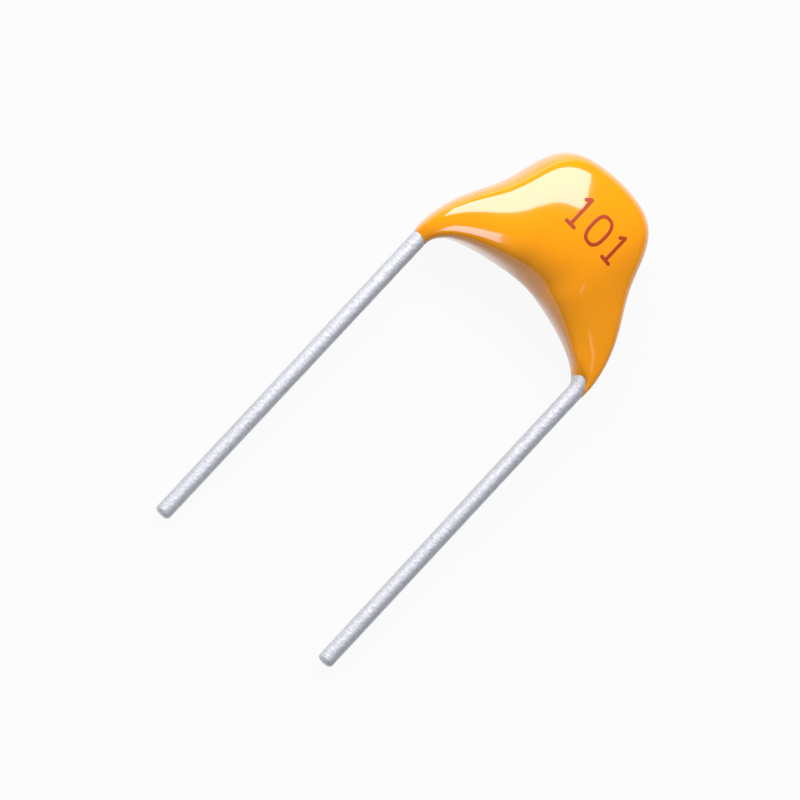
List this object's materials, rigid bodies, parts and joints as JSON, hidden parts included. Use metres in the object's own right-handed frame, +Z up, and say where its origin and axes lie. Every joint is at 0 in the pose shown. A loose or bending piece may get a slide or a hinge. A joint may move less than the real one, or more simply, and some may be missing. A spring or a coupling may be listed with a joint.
{
  "type": "multilayer ceramic capacitor",
  "caption": "Radial-leaded multilayer ceramic capacitor: a small ceramic chip across tinned wires, dipped in glossy yellow epoxy that arches between the leads.",
  "frame": {"origin": "centre of the bounding box's underside, on the table that the part lies on", "axes": "+Z up from the table, the marked face up; +Y from the lead tips to the body's dome; +X from the left lead to the right one, the marking seen upright"},
  "size_m": [0.0056, 0.013, 0.0024],
  "materials": {
    "epoxy": "glossy dipped epoxy",
    "tinned_wire": "satin tin plating",
    "dielectric": "matte fired ceramic",
    "electrode": "fired metal",
    "termination": "matte tin plating",
    "solder": "smooth solder"
  },
  "bodies": {
    "root": {"ceramic_dielectric": "dielectric", "end_termination_left": "termination", "end_termination_right": "termination", "epoxy_coating": "epoxy", "inner_electrode_01": "electrode", "inner_electrode_02": "electrode", "inner_electrode_03": "electrode", "inner_electrode_04": "electrode", "inner_electrode_05": "electrode", "inner_electrode_06": "electrode", "inner_electrode_07": "electrode", "inner_electrode_08": "electrode", "inner_electrode_09": "electrode", "inner_electrode_10": "electrode", "lead_wire_left": "tinned_wire", "lead_wire_right": "tinned_wire", "solder_joint_left": "solder", "solder_joint_right": "solder"}
  },
  "joints": []
}
